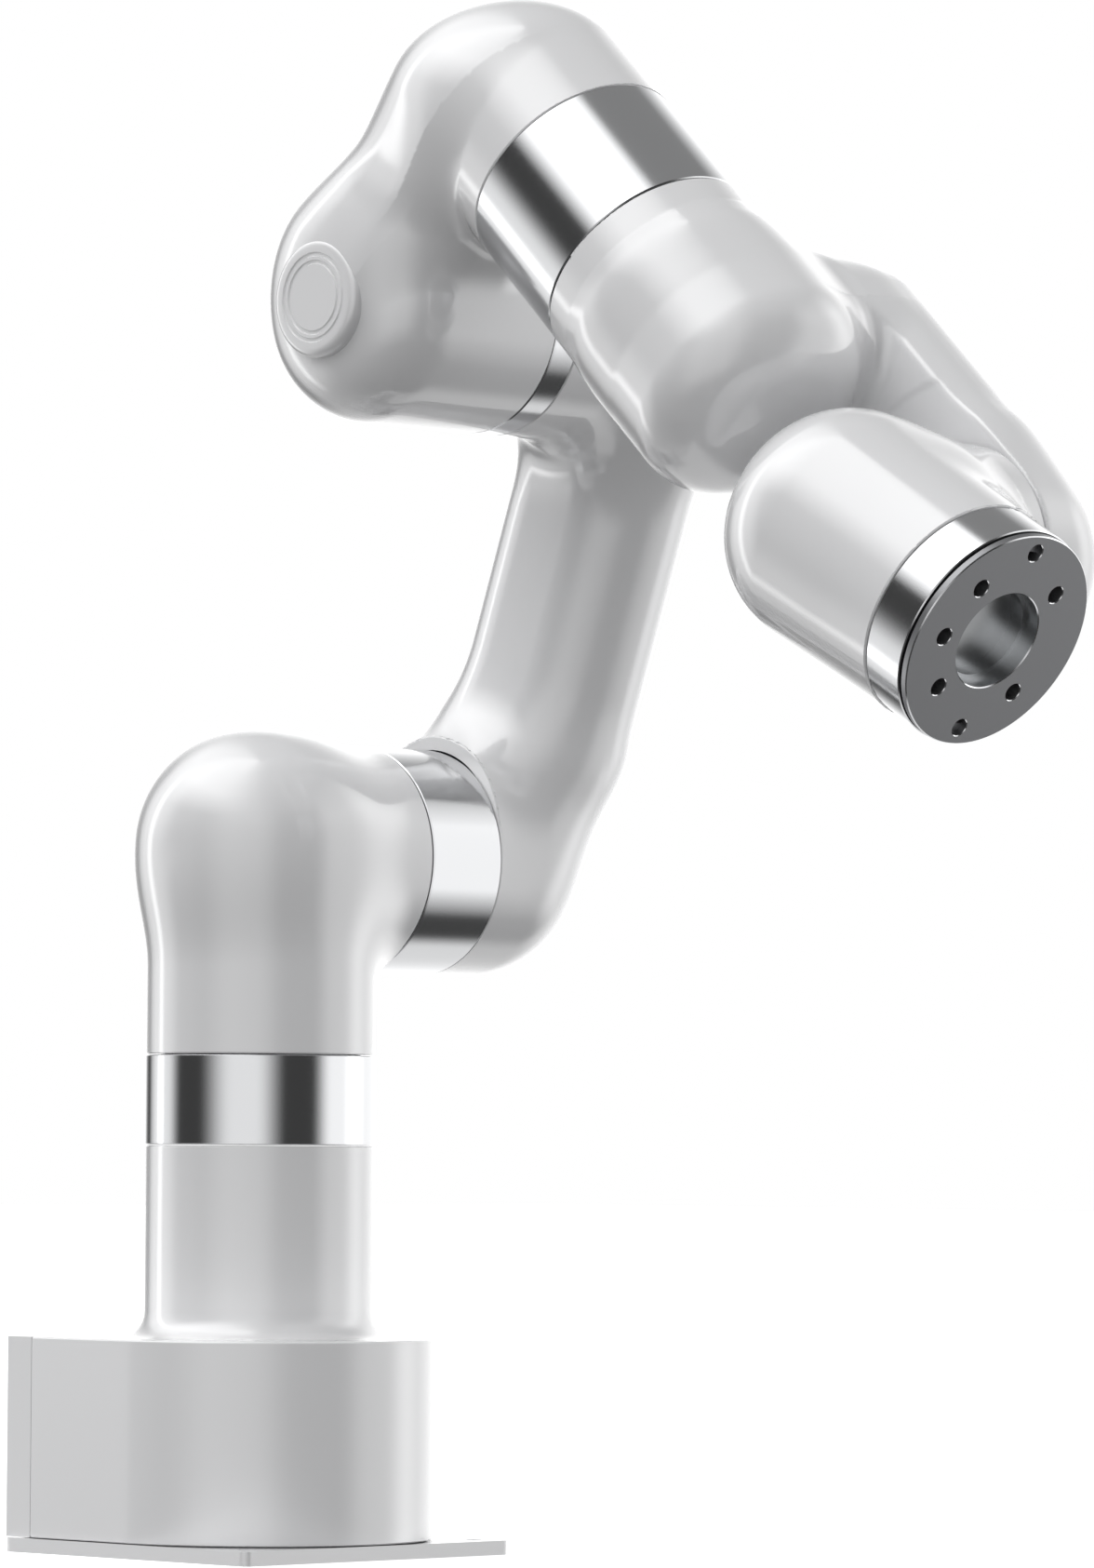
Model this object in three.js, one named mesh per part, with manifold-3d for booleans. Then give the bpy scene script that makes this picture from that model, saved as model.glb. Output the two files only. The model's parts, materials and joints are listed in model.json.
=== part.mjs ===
// A six-axis collaborative robot arm, millimetres, +Z up.
// The origin is the centre of the base plate's underside, +X points forward, away from the connector panel.
import * as THREE from 'three';
import { mergeVertices } from 'three/addons/utils/BufferGeometryUtils.js';
import { RoundedBoxGeometry } from 'three/addons/geometries/RoundedBoxGeometry.js';
import Module from 'manifold-3d';

const wasm = await Module();
wasm.setup();

// ---------- driving dimensions ----------
const GAP = 0.3;                      // running or assembly gap between touching pieces
const OVER = 20;                      // how far a cutting body passes the face that it cuts
const WALL = 4;                       // casting wall
const ROUND = 32;                     // facets round a casting
const BORE_ROUND = 20;                // facets round a casting's inner bore
const INNER_ROUND = 16;               // facets round the drive parts and sockets
const DISC_ROUND = 48;                // facets round the tool flange's disc
const EDGE_STEPS = 3;                 // facets across a rounded end

const PLATE = { side: 125, thick: 5, hole: 3.3, holeInset: 9, corner: 3 };
const BODY = { front: 61.5, back: 62.5, top: 75, wall: 4 };
const COVER = { depth: 12.5, thick: 3.5 };
const COLUMN = { r: 40, foot: 9 };
const SUPPLY = { low: [-30, -32, 22], high: [28, 32, 52] };
const BOARD = { low: [-32, -38, 14], high: [34, 38, 16] };
const BUTTON = { gap: 0.4, proud: 2, length: 10, edge: 1 };
const SOCKET_DEPTH = { round: 12, network: 16, terminal: 10, wall: 1.5 };
const TERMINAL_SLOTS = 8;
const LENS = { proud: 0.5, length: 5.5 };
// the rear panel: the middle of each fitting, seen from behind, and its size
const PANEL = {
  inlet: { y: -38, z: 24, r: 6.5 },
  network: { y: -12, z: 24, w: 16, h: 14 },
  terminalLow: { y: 26, z: 22, w: 40, h: 11 },
  terminalHigh: { y: 26, z: 38, w: 40, h: 11 },
  stop: { y: -12, z: 50, r: 7.5 },
  button: { y: -38, z: 50, r: 8 },
  led: { y: 26, z: 56, r: 2.5 },
};

const J2_HEIGHT = 243.5;              // J2 axis above the base
const UPPER_ARM = 200;                // J2 axis to J3 axis
const ELBOW_OFFSET = 87;              // J3 axis to J4 axis
const FOREARM = 227.6;                // J3 axis plane to J5 axis, along J4
const WRIST = 61.5;                   // J5 axis to the tool face

const REST = {                        // joint angles of the modelled pose, degrees
  upperArm: 20.1, elbow: 24.06, wrist: -13.3, flange: 45,
};

// metal joint rings: the axial span along the joint axis, and the radius
const RING = {
  j1: { from: 142.2, to: 173.4, r: 40.1 },
  j2: { from: 45, to: 77.9, r: 40.2 },
  j3: { from: 36.6, to: 47.5, r: 40.8 },
  j4: { from: 35.5, to: 84.5, r: 39.5 },
  j6: { from: 42.2, to: 58.2, r: 38 },
};
const RING_WALL = 5;
const SEAM_J5 = 41.3;                 // y of the seam between forearm and wrist
const SEAM_J5_SHELL = 37.5;           // radius of the two castings where they meet at J5

// castings: bars run along a joint axis to the ends given, and links and webs are soft boxes
const SHOULDER = { r: 40, top: 41.5, back: -41, edge: 36 };
const UPPER = { r: 40, lowEnd: 141, lowEdge: 38, highEnd: 147, highEdge: 34 };
const UPPER_LINK = { y: 123.5, z: 116, width: 68, depth: 53, length: 184, edge: 22 };
const ELBOW = { side: -37, sideEdge: 25, back: -38, backEdge: 34 };
const ELBOW_WEB = { x: -7, y: -2, width: 68, depth: 67, length: 118, edge: 26 };
const FOREARM_TUBE = { end: 130, edge: 20, bore: 150 };
const BELLY = { from: 94, to: 165, y: 3, z: -0.5, r: 42.5, startEdge: 30, endEdge: 22 };
const FOREARM_LINK = { x: 163, y: 60.5, z: 3.5, width: 70, depth: 48, length: 118, edge: 22 };
const FOREARM_END = { y: 85.5, edge: 28 };
const WRIST_TUBE = { back: -49, r: 42, edge: 32, shoulderAt: -14 };
const FLANGE = {
  r: 37.5, thick: 2.3, hubR: 31, hubDepth: 9, recess: 16.9, recessDepth: 6, bore: 15.4,
  holeR: 3, holeDepth: 7,
  innerPcd: 50, innerAngles: [0, 90, 135, 180, 270],
  outerPcd: 63, outerAngles: [45, 225],
};
const WRIST_SWING = 60;               // the forearm is cleared this far round J5 so that the wrist can swing
const CAP = { r: 20.5, proud: 4.5, thick: 6.5, edge: 2.5 };

// ---------- materials ----------
function paint(name, color, roughness, metalness) {
  return new THREE.MeshStandardMaterial({ name, color, roughness, metalness });
}
const gloss = () => paint('gloss_white', 0xe6e7ea, 0.18, 0.0);
const ringMetal = () => paint('polished_metal', 0xc4c6ca, 0.2, 1.0);
const darkMetal = () => paint('dark_anodised', 0x55575b, 0.4, 0.9);
const steel = () => paint('steel', 0x9a9da1, 0.4, 1.0);
const copper = () => paint('copper_winding', 0xa8622f, 0.5, 0.8);
const blackPlastic = () => paint('black_plastic', 0x17181a, 0.5, 0.0);
const board = () => paint('circuit_board', 0x1c5a34, 0.6, 0.0);
const terminal = () => paint('green_terminal', 0x2f8f4e, 0.5, 0.0);

// ---------- solids ----------
const degrees = THREE.MathUtils.degToRad;
const v3 = (x, y, z) => new THREE.Vector3(x, y, z);
const X = v3(1, 0, 0);
const Y = v3(0, 1, 0);
const Z = v3(0, 0, 1);

function signedVolume(positions, triangles) {
  let volume = 0;
  const corner = (i) => v3(positions[3 * i], positions[3 * i + 1], positions[3 * i + 2]);
  for (let i = 0; i < triangles.length; i += 3) {
    const [a, b, c] = [corner(triangles[i]), corner(triangles[i + 1]), corner(triangles[i + 2])];
    volume += a.dot(b.cross(c)) / 6;
  }
  return volume;
}

// Turns a closed three.js geometry into a solid, facing out whichever way it was wound.
function toSolid(geometry) {
  const plain = geometry.clone();
  plain.deleteAttribute('normal');
  plain.deleteAttribute('uv');
  const merged = mergeVertices(plain, 1e-4);
  const vertProperties = new Float32Array(merged.attributes.position.array);
  const kept = [];
  const index = merged.index.array;
  for (let i = 0; i < index.length; i += 3) {
    const [a, b, c] = [index[i], index[i + 1], index[i + 2]];
    if (a !== b && b !== c && c !== a) kept.push(a, b, c);
  }
  if (signedVolume(vertProperties, kept) < 0) {
    for (let i = 0; i < kept.length; i += 3) [kept[i], kept[i + 1]] = [kept[i + 1], kept[i]];
  }
  return new wasm.Manifold(new wasm.Mesh({ numProp: 3, vertProperties, triVerts: new Uint32Array(kept) }));
}

function toGeometry(solid) {
  const mesh = solid.getMesh();
  const geometry = new THREE.BufferGeometry();
  geometry.setAttribute('position', new THREE.BufferAttribute(new Float32Array(mesh.vertProperties), 3));
  geometry.setIndex(new THREE.BufferAttribute(new Uint32Array(mesh.triVerts), 1));
  geometry.computeVertexNormals();
  return geometry;
}

const join = (first, ...rest) => rest.reduce((sum, part) => sum.add(part), first);
const cut = (first, ...rest) => rest.reduce((sum, part) => sum.subtract(part), first);

// Stands a geometry made along +Y on `start`, pointing along `axis`.
function along(geometry, start, axis) {
  const turn = new THREE.Quaternion().setFromUnitVectors(Y, axis.clone().normalize());
  geometry.applyQuaternion(turn);
  geometry.translate(start.x, start.y, start.z);
  return geometry;
}

// A round bar from `start` to `end`, with its two ends rounded to the edge radii given.
function barrel(start, end, r, startEdge = 0, endEdge = 0, facets = ROUND) {
  const length = start.distanceTo(end);
  const profile = [new THREE.Vector2(0, 0)];
  const corner = (edge, y, from) => {
    if (edge === 0) {
      profile.push(new THREE.Vector2(r, y));
      return;
    }
    for (let i = 0; i <= EDGE_STEPS; i += 1) {
      const angle = from + (Math.PI / 2) * (i / EDGE_STEPS);
      profile.push(new THREE.Vector2(r - edge + edge * Math.cos(angle), y + edge * Math.sin(angle)));
    }
  };
  corner(startEdge, startEdge, -Math.PI / 2);
  corner(endEdge, length - endEdge, 0);
  profile.push(new THREE.Vector2(0, length));
  return toSolid(along(new THREE.LatheGeometry(profile, facets), start, end.clone().sub(start)));
}

// A plain ring from `start`, `length` long along `axis`.
function ring(start, axis, length, outer, inner, facets = ROUND) {
  const corners = [[inner, 0], [outer, 0], [outer, length], [inner, length], [inner, 0]];
  const profile = corners.map(([r, y]) => new THREE.Vector2(r, y));
  return toSolid(along(new THREE.LatheGeometry(profile, facets), start, axis));
}

// A box with rounded edges, long along Z, centred on `middle`.
function softBox(middle, width, depth, height, edge) {
  const geometry = new RoundedBoxGeometry(width, depth, height, EDGE_STEPS - 1, edge);
  geometry.translate(middle.x, middle.y, middle.z);
  return toSolid(geometry);
}

function box(low, high) {
  const geometry = new THREE.BoxGeometry(high.x - low.x, high.y - low.y, high.z - low.z);
  geometry.translate((low.x + high.x) / 2, (low.y + high.y) / 2, (low.z + high.z) / 2);
  return toSolid(geometry);
}

function extrude(shape, depth, curveSegments = 10) {
  return new THREE.ExtrudeGeometry(shape, { depth, bevelEnabled: false, curveSegments });
}

function add(group, name, solid, material) {
  const mesh = new THREE.Mesh(toGeometry(solid), material);
  mesh.name = name;
  group.add(mesh);
}

// ---------- drive units ----------
// One joint's drive: a motor, brake and encoder on the fixed side,
// and the reducer's output on the moving side.
// Spans run along the joint's axis from its ring's fixed end, where s = 0.
const DRIVE = {
  j1: {
    r: 34, encoder: [-22, -16], brake: [-14, -4], rotor: [1, 19],
    stator: [2, 18], reducer: [20.5, 38],
  },
  j2: {
    r: 34, encoder: [-22, -16], brake: [-14, -4], rotor: [1, 20],
    stator: [2, 19], reducer: [21.5, 40],
  },
  j3: {
    r: 34, encoder: [-48, -42], brake: [-40, -29], rotor: [-27, -9],
    stator: [-26, -10], reducer: [-8, 16],
  },
  j4: {
    r: 34, encoder: [-12, -6], brake: [-4, 7], rotor: [9, 27],
    stator: [10, 26], reducer: [28.5, 56],
  },
  j5: {
    r: 30, encoder: [-33, -29.5], brake: [-28, -21], rotor: [-19.5, -4],
    stator: [-18.5, -5], reducer: [-3, 10],
  },
  j6: {
    r: 31, encoder: [-38, -33.5], brake: [-32, -24.5], rotor: [-23, -7],
    stator: [-22, -8], reducer: [-5.5, 6.5],
  },
};
const DRIVE_PARTS = {
  stator: { outer: 0.96, inner: 0.7, material: copper },
  rotor: { outer: 0.66, inner: 0.3, material: steel },
  brake: { outer: 0.8, inner: 0.36, material: blackPlastic },
  encoder: { outer: 0.8, inner: 0.36, material: board },
  reducer: { outer: 0.9, inner: 0.3, material: steel },
};

function drivePart(group, joint, key, start, axis) {
  const spans = DRIVE[joint];
  const part = DRIVE_PARTS[key];
  const [from, to] = spans[key];
  const place = start.clone().addScaledVector(axis, from);
  const solid = ring(place, axis, to - from, part.outer * spans.r, part.inner * spans.r, INNER_ROUND);
  add(group, `${joint}_${key}`, solid, part.material());
}

function driveUnit(joint, axis, fixed, fixedStart, moving, movingStart) {
  for (const key of ['stator', 'rotor', 'brake', 'encoder']) drivePart(fixed, joint, key, fixedStart, axis);
  drivePart(moving, joint, 'reducer', movingStart, axis);
}

// ---------- base ----------
function bodyOutline(inset, backX) {
  const r = BODY.front - inset;
  const shape = new THREE.Shape();
  shape.moveTo(backX, -r);
  shape.lineTo(0, -r);
  shape.absarc(0, 0, r, -Math.PI / 2, Math.PI / 2, false);
  shape.lineTo(backX, r);
  shape.closePath();
  return shape;
}

function basePlate() {
  const half = PLATE.side / 2;
  const c = PLATE.corner;
  const shape = new THREE.Shape();
  shape.moveTo(-half + c, -half);
  shape.lineTo(half - c, -half);
  shape.absarc(half - c, -half + c, c, -Math.PI / 2, 0, false);
  shape.lineTo(half, half - c);
  shape.absarc(half - c, half - c, c, 0, Math.PI / 2, false);
  shape.lineTo(-half + c, half);
  shape.absarc(-half + c, half - c, c, Math.PI / 2, Math.PI, false);
  shape.lineTo(-half, -half + c);
  shape.absarc(-half + c, -half + c, c, Math.PI, 1.5 * Math.PI, false);
  const place = half - PLATE.holeInset;
  for (const x of [-place, place]) {
    for (const y of [-place, place]) {
      const hole = new THREE.Path();
      hole.absarc(x, y, PLATE.hole, 0, 2 * Math.PI, true);
      shape.holes.push(hole);
    }
  }
  return toSolid(extrude(shape, PLATE.thick, 4));
}

function baseHousing() {
  const frontX = -BODY.back + COVER.depth + GAP;
  const outer = extrude(bodyOutline(0, frontX), BODY.top - PLATE.thick - GAP, 24);
  outer.translate(0, 0, PLATE.thick + GAP);
  const inner = extrude(bodyOutline(BODY.wall, frontX - OVER), BODY.top - BODY.wall - PLATE.thick, 24);
  inner.translate(0, 0, PLATE.thick - 1);
  const foot = [[0, BODY.top - 1], [COLUMN.r + COLUMN.foot, BODY.top - 1]];
  for (let i = 0; i <= EDGE_STEPS; i += 1) {
    const angle = (Math.PI / 2) * (i / EDGE_STEPS);
    foot.push([
      COLUMN.r + COLUMN.foot * (1 - Math.sin(angle)), BODY.top + COLUMN.foot * (1 - Math.cos(angle)),
    ]);
  }
  foot.push([COLUMN.r, RING.j1.from - GAP], [0, RING.j1.from - GAP]);
  const outline = foot.map(([r, y]) => new THREE.Vector2(r, y));
  const column = along(new THREE.LatheGeometry(outline, ROUND), v3(0, 0, 0), Z);
  const bore = barrel(v3(0, 0, PLATE.thick + 20), v3(0, 0, RING.j1.from + OVER), COLUMN.r - WALL, 0, 0);
  return cut(join(toSolid(outer), toSolid(column)), toSolid(inner), bore);
}

function rearCover() {
  const back = -BODY.back;
  const front = back + COVER.depth;
  const half = BODY.front;
  const low = PLATE.thick + GAP;
  const shell = cut(
    box(v3(back, -half, low), v3(front, half, BODY.top)),
    box(
      v3(back + COVER.thick, -half + BODY.wall, low - 1),
      v3(front + 1, half - BODY.wall, BODY.top - BODY.wall)),
  );
  const inside = back + COVER.thick + 1;
  const through = (spot, w, h) => box(
    v3(back - 1, spot.y - w / 2, spot.z - h / 2), v3(inside, spot.y + w / 2, spot.z + h / 2));
  const roundHole = (spot) => barrel(
    v3(back - 1, spot.y, spot.z), v3(inside, spot.y, spot.z), spot.r + GAP, 0, 0, INNER_ROUND);
  const cuts = ['inlet', 'stop', 'button', 'led'].map((key) => roundHole(PANEL[key]));
  for (const key of ['network', 'terminalLow', 'terminalHigh']) {
    cuts.push(through(PANEL[key], PANEL[key].w + 2 * GAP, PANEL[key].h + 2 * GAP));
  }
  return cut(shell, ...cuts);
}

// A round panel socket: a cup with an open mouth at the back of the panel.
function roundSocket(spot) {
  const back = -BODY.back;
  const { round, wall } = SOCKET_DEPTH;
  const cup = barrel(v3(back, spot.y, spot.z), v3(back + round, spot.y, spot.z), spot.r, 0, 0, INNER_ROUND);
  const mouth = barrel(
    v3(back - 1, spot.y, spot.z), v3(back + round - wall, spot.y, spot.z), spot.r - wall, 0, 0, INNER_ROUND);
  return cut(cup, mouth);
}

// A square panel socket with `slots` mouths side by side.
function boxSocket(spot, depth, slots) {
  const back = -BODY.back;
  const { wall } = SOCKET_DEPTH;
  const body = box(
    v3(back, spot.y - spot.w / 2, spot.z - spot.h / 2),
    v3(back + depth, spot.y + spot.w / 2, spot.z + spot.h / 2));
  const pitch = (spot.w - wall) / slots;
  const mouths = [];
  for (let i = 0; i < slots; i += 1) {
    const y = spot.y - spot.w / 2 + wall + i * pitch;
    mouths.push(box(
      v3(back - 1, y, spot.z - spot.h / 2 + wall),
      v3(back + depth - wall, y + pitch - wall, spot.z + spot.h / 2 - wall)));
  }
  return cut(body, ...mouths);
}

function buildBase(group) {
  add(group, 'base_plate', basePlate(), gloss());
  add(group, 'base_housing', baseHousing(), gloss());
  add(group, 'rear_cover', rearCover(), gloss());
  add(group, 'power_inlet', roundSocket(PANEL.inlet), blackPlastic());
  add(group, 'stop_connector', roundSocket(PANEL.stop), steel());
  add(group, 'network_socket', boxSocket(PANEL.network, SOCKET_DEPTH.network, 1), steel());
  const terminalAt = (spot) => boxSocket(spot, SOCKET_DEPTH.terminal, TERMINAL_SLOTS);
  add(group, 'io_terminal_lower', terminalAt(PANEL.terminalLow), terminal());
  add(group, 'io_terminal_upper', terminalAt(PANEL.terminalHigh), terminal());
  const led = PANEL.led;
  const face = -BODY.back - LENS.proud;
  add(group, 'status_lens', barrel(
    v3(face, led.y, led.z), v3(face + LENS.length, led.y, led.z), led.r, 0, 0, INNER_ROUND), blackPlastic());
  add(group, 'controller_board', box(v3(...BOARD.low), v3(...BOARD.high)), board());
  add(group, 'power_supply', box(v3(...SUPPLY.low), v3(...SUPPLY.high)), steel());
  add(group, 'j1_ring', ring(
    v3(0, 0, RING.j1.from), Z, RING.j1.to - RING.j1.from, RING.j1.r, RING.j1.r - RING_WALL), ringMetal());
}

function buildButton(group) {
  const spot = PANEL.button;
  const back = -BODY.back;
  const cap = barrel(
    v3(back - BUTTON.proud, spot.y, spot.z), v3(back - BUTTON.proud + BUTTON.length, spot.y, spot.z),
    spot.r - BUTTON.gap, BUTTON.edge, 0, INNER_ROUND);
  add(group, 'power_button', cap, steel());
}

// ---------- castings ----------
function shoulderCasting() {
  const { r, top, back, edge } = SHOULDER;
  const bottom = RING.j1.to + GAP;
  const end = RING.j2.from - GAP;
  const crown = J2_HEIGHT + top;
  const upright = barrel(v3(0, 0, bottom), v3(0, 0, crown), r, 0, edge);
  const arm = barrel(v3(0, back, J2_HEIGHT), v3(0, end, J2_HEIGHT), r, edge, 0);
  const boreUp = barrel(
    v3(0, 0, bottom - OVER), v3(0, 0, crown - WALL), r - WALL, 0, edge - WALL, BORE_ROUND);
  const boreOut = barrel(
    v3(0, back + WALL, J2_HEIGHT), v3(0, end + OVER, J2_HEIGHT), r - WALL, edge - WALL, 0, BORE_ROUND);
  return cut(join(upright, arm), boreUp, boreOut);
}

// A soft box and the hollow inside it, one casting wall smaller all round.
function hollowBox(place, size, edge) {
  return [
    softBox(place, size[0], size[1], size[2], edge),
    softBox(place, size[0] - 2 * WALL, size[1] - 2 * WALL, size[2] - 2 * WALL, edge - WALL),
  ];
}

// In the upper arm's own frame: J2 at the origin, J3 straight above it.
function upperArmCasting() {
  const { r, lowEnd, lowEdge, highEnd, highEdge } = UPPER;
  const low = RING.j2.to + GAP;
  const high = RING.j3.to + GAP;
  const highR = RING.j3.r;
  const lower = barrel(v3(0, low, 0), v3(0, lowEnd, 0), r, 0, lowEdge);
  const upper = barrel(v3(0, high, UPPER_ARM), v3(0, highEnd, UPPER_ARM), highR, 0, highEdge);
  const [link, linkBore] = hollowBox(
    v3(0, UPPER_LINK.y, UPPER_LINK.z),
    [UPPER_LINK.width, UPPER_LINK.depth, UPPER_LINK.length], UPPER_LINK.edge);
  const lowerBore = barrel(
    v3(0, low - OVER, 0), v3(0, lowEnd - WALL, 0), r - WALL, 0, lowEdge - WALL, BORE_ROUND);
  const upperBore = barrel(
    v3(0, high - OVER, UPPER_ARM), v3(0, highEnd - WALL, UPPER_ARM),
    highR - WALL, 0, highEdge - WALL, BORE_ROUND);
  return cut(join(lower, upper, link), lowerBore, upperBore, linkBore);
}

// In the elbow's own frame: J3 at the origin along Y, J4 along X at the elbow offset.
function elbowCasting() {
  const { side, sideEdge, back, backEdge } = ELBOW;
  const seam = RING.j3.from - GAP;
  const end = RING.j4.from - GAP;
  const lower = barrel(v3(0, side, 0), v3(0, seam, 0), RING.j3.r, sideEdge, 0);
  const upper = barrel(v3(back, 0, ELBOW_OFFSET), v3(end, 0, ELBOW_OFFSET), RING.j4.r, backEdge, 0);
  const [web, webBore] = hollowBox(
    v3(ELBOW_WEB.x, ELBOW_WEB.y, ELBOW_OFFSET / 2), [ELBOW_WEB.width, ELBOW_WEB.depth, ELBOW_WEB.length],
    ELBOW_WEB.edge);
  const lowerBore = barrel(
    v3(0, side + WALL, 0), v3(0, seam + OVER, 0), RING.j3.r - WALL, sideEdge - WALL, 0, BORE_ROUND);
  const upperBore = barrel(
    v3(back + WALL, 0, ELBOW_OFFSET), v3(end + OVER, 0, ELBOW_OFFSET), RING.j4.r - WALL, backEdge - WALL, 0,
    BORE_ROUND);
  const capSeat = barrel(
    v3(0, side - OVER, 0), v3(0, side - CAP.proud + CAP.thick + GAP, 0), CAP.r + GAP, 0, 0);
  return cut(join(lower, upper, web), lowerBore, upperBore, webBore, capSeat);
}

function elbowCap() {
  const outer = ELBOW.side - CAP.proud;
  return barrel(v3(0, outer, 0), v3(0, outer + CAP.thick, 0), CAP.r, CAP.edge, 0);
}

// In the forearm's own frame: J4 is the X axis, J5 at FOREARM along X.
function forearmCasting() {
  const start = RING.j4.to + GAP;
  const seam = SEAM_J5 + GAP;
  const tube = barrel(v3(start, 0, 0), v3(FOREARM_TUBE.end, 0, 0), RING.j4.r, 0, FOREARM_TUBE.edge);
  const belly = barrel(
    v3(BELLY.from, BELLY.y, BELLY.z), v3(BELLY.to, BELLY.y, BELLY.z),
    BELLY.r, BELLY.startEdge, BELLY.endEdge);
  const [link, linkBore] = hollowBox(
    v3(0, 0, 0), [FOREARM_LINK.width, FOREARM_LINK.depth, FOREARM_LINK.length], FOREARM_LINK.edge,
  ).map((solid) => solid.rotate([0, 90, 0]).translate([FOREARM_LINK.x, FOREARM_LINK.y, FOREARM_LINK.z]));
  const end = barrel(v3(FOREARM, seam, 0), v3(FOREARM, FOREARM_END.y, 0), SEAM_J5_SHELL, 0, FOREARM_END.edge);
  const clearance = barrel(v3(FOREARM, -2 * RING.j4.r, 0), v3(FOREARM, seam, 0), WRIST_SWING, 0, 0);
  const bore = barrel(
    v3(start - OVER, 0, 0), v3(FOREARM_TUBE.bore, 0, 0), RING.j4.r - WALL, 0, 0, BORE_ROUND);
  const endBore = barrel(
    v3(FOREARM, seam - OVER, 0), v3(FOREARM, FOREARM_END.y - WALL, 0), SEAM_J5_SHELL - WALL, 0,
    FOREARM_END.edge - WALL, BORE_ROUND);
  return cut(cut(join(tube, belly, link, end), clearance), bore, linkBore, endBore);
}

// In the wrist's own frame: J5 at the origin along Y, J6 along X.
function wristCasting() {
  const { back, r, edge, shoulderAt } = WRIST_TUBE;
  const seam = SEAM_J5 - GAP;
  const end = RING.j6.from - GAP;
  const profile = (inset) => {
    const points = [new THREE.Vector2(0, back + inset)];
    for (let i = 0; i <= EDGE_STEPS; i += 1) {
      const angle = (Math.PI / 2) * (i / EDGE_STEPS);
      points.push(new THREE.Vector2(
        r - edge + (edge - inset) * Math.sin(angle), back + edge - (edge - inset) * Math.cos(angle)));
    }
    const reach = inset > 0 ? OVER : 0;
    points.push(
      new THREE.Vector2(r - inset, shoulderAt), new THREE.Vector2(RING.j6.r - inset, end + reach),
      new THREE.Vector2(0, end + reach));
    return points;
  };
  const turned = (inset, facets) => toSolid(
    along(new THREE.LatheGeometry(profile(inset), facets), v3(0, 0, 0), X));
  const cross = barrel(v3(0, 0, 0), v3(0, seam, 0), SEAM_J5_SHELL, 0, 0);
  const crossBore = barrel(v3(0, 0, 0), v3(0, seam + OVER, 0), SEAM_J5_SHELL - WALL, 0, 0, BORE_ROUND);
  return cut(join(cross, turned(0, ROUND)), crossBore, turned(WALL, BORE_ROUND));
}

// The tool face is the plane x = 0 of the flange's own frame, and the tool leaves along +X.
function toolFlange() {
  const back = -FLANGE.thick - FLANGE.hubDepth;
  const disc = barrel(v3(-FLANGE.thick, 0, 0), v3(0, 0, 0), FLANGE.r, 0, 0, DISC_ROUND);
  const hub = barrel(v3(back, 0, 0), v3(-FLANGE.thick / 2, 0, 0), FLANGE.hubR);
  const bore = barrel(v3(back - 1, 0, 0), v3(1, 0, 0), FLANGE.bore);
  const recess = barrel(v3(-FLANGE.recessDepth, 0, 0), v3(1, 0, 0), FLANGE.recess);
  const hole = (pcd) => (angle) => {
    const y = (pcd / 2) * Math.cos(degrees(angle));
    const z = (pcd / 2) * Math.sin(degrees(angle));
    return barrel(v3(-FLANGE.holeDepth, y, z), v3(1, y, z), FLANGE.holeR, 0, 0, INNER_ROUND);
  };
  const inner = FLANGE.innerAngles.map(hole(FLANGE.innerPcd));
  const outer = FLANGE.outerAngles.map(hole(FLANGE.outerPcd));
  return cut(join(disc, hub), bore, recess, ...inner, ...outer);
}

// ---------- assembly ----------
const robot = new THREE.Group();
const base = new THREE.Group();
const button = new THREE.Group();
const shoulder = new THREE.Group();
const upperArm = new THREE.Group();
const elbow = new THREE.Group();
const forearm = new THREE.Group();
const wrist = new THREE.Group();
const flange = new THREE.Group();
robot.add(base);
base.add(button);
base.add(shoulder);
shoulder.add(upperArm);
upperArm.add(elbow);
elbow.add(forearm);
forearm.add(wrist);
wrist.add(flange);
upperArm.position.set(0, 0, J2_HEIGHT);
upperArm.rotation.y = degrees(REST.upperArm);
elbow.position.set(0, 0, UPPER_ARM);
elbow.rotation.y = degrees(REST.elbow);
forearm.position.set(0, 0, ELBOW_OFFSET);
wrist.position.set(FOREARM, 0, 0);
wrist.rotation.y = degrees(REST.wrist);
flange.position.set(WRIST, 0, 0);
flange.rotation.x = degrees(REST.flange);

buildBase(base);
buildButton(button);
add(shoulder, 'shoulder_casting', shoulderCasting(), gloss());
add(shoulder, 'j2_ring', ring(
  v3(0, RING.j2.from, J2_HEIGHT), Y, RING.j2.to - RING.j2.from, RING.j2.r, RING.j2.r - RING_WALL),
ringMetal());
add(upperArm, 'upper_arm_casting', upperArmCasting(), gloss());
add(upperArm, 'j3_ring', ring(
  v3(0, RING.j3.from, UPPER_ARM), Y, RING.j3.to - RING.j3.from, RING.j3.r, RING.j3.r - RING_WALL),
ringMetal());
add(elbow, 'elbow_casting', elbowCasting(), gloss());
add(elbow, 'elbow_cap', elbowCap(), gloss());
add(elbow, 'j4_ring', ring(
  v3(RING.j4.from, 0, ELBOW_OFFSET), X, RING.j4.to - RING.j4.from, RING.j4.r, RING.j4.r - RING_WALL),
ringMetal());
add(forearm, 'forearm_casting', forearmCasting(), gloss());
add(wrist, 'wrist_casting', wristCasting(), gloss());
add(wrist, 'j6_ring', ring(
  v3(RING.j6.from, 0, 0), X, RING.j6.to - RING.j6.from, RING.j6.r, RING.j6.r - RING_WALL), ringMetal());
add(flange, 'tool_flange', toolFlange(), darkMetal());

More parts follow.
